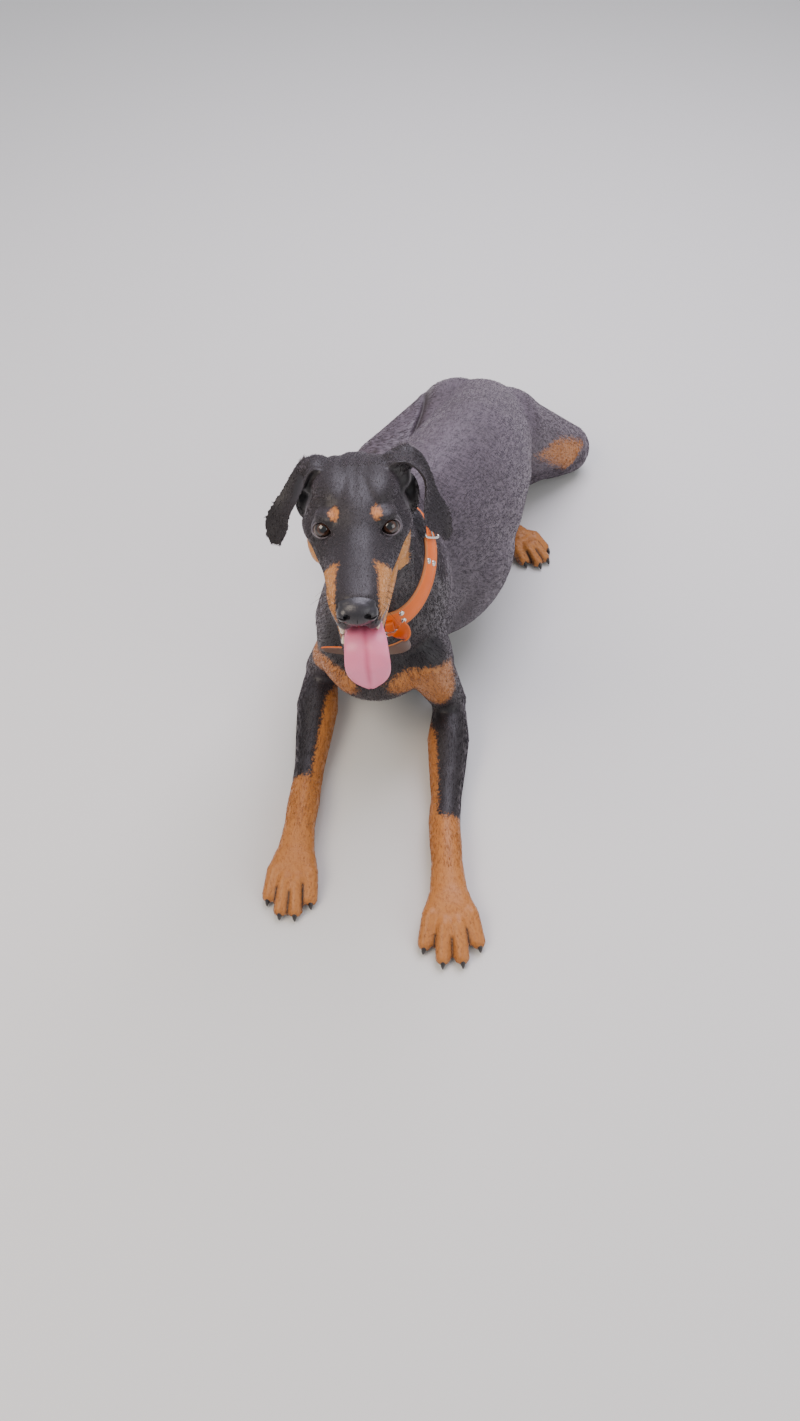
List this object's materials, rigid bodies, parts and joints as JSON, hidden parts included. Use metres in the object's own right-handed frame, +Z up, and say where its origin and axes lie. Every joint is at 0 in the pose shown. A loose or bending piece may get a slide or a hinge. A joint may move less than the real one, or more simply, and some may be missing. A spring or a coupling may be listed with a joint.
{
  "type": "doberman pinscher, dog, lying",
  "caption": "Still life-size young doberman pinscher lying on its chest, head raised, mouth open with the tongue out, hanging ears, short tail and a leather collar.",
  "frame": {"origin": "centre of the dog's bounding box in plan, on the floor that it lies on", "axes": "the muzzle and forelegs point along -Y, the dog's left side is +X and +Z is up"},
  "size_m": [0.4736, 0.9444, 0.4792],
  "materials": {
    "coat": "short glossy black coat",
    "rust_coat": "short rust-tan coat",
    "nose_skin": "moist black nose skin",
    "tongue_flesh": "wet pink tongue",
    "eyeball": "dark brown wet eye",
    "collar_leather": "orange leather",
    "collar_steel": "polished steel"
  },
  "bodies": {
    "root": {"buckle": "collar_steel", "chest": "coat", "collar_band": "collar_leather", "d_ring": "collar_steel", "ear_left": "coat", "ear_right": "coat", "eye_left": "eyeball", "eye_right": "eyeball", "forearm_left": "rust_coat", "forearm_right": "rust_coat", "forepaw_left": "rust_coat", "forepaw_right": "rust_coat", "head": "coat", "hindfoot_left": "rust_coat", "hindfoot_right": "rust_coat", "hindquarters": "coat", "neck": "coat", "nose_pad": "nose_skin", "ring_loop": "collar_leather", "rivet_1": "collar_steel", "rivet_2": "collar_steel", "rivet_3": "collar_steel", "rivet_4": "collar_steel", "strap_end": "collar_leather", "tail": "coat", "thigh_left": "coat", "thigh_right": "coat", "tongue": "tongue_flesh", "upper_arm_left": "coat", "upper_arm_right": "coat"}
  },
  "joints": []
}
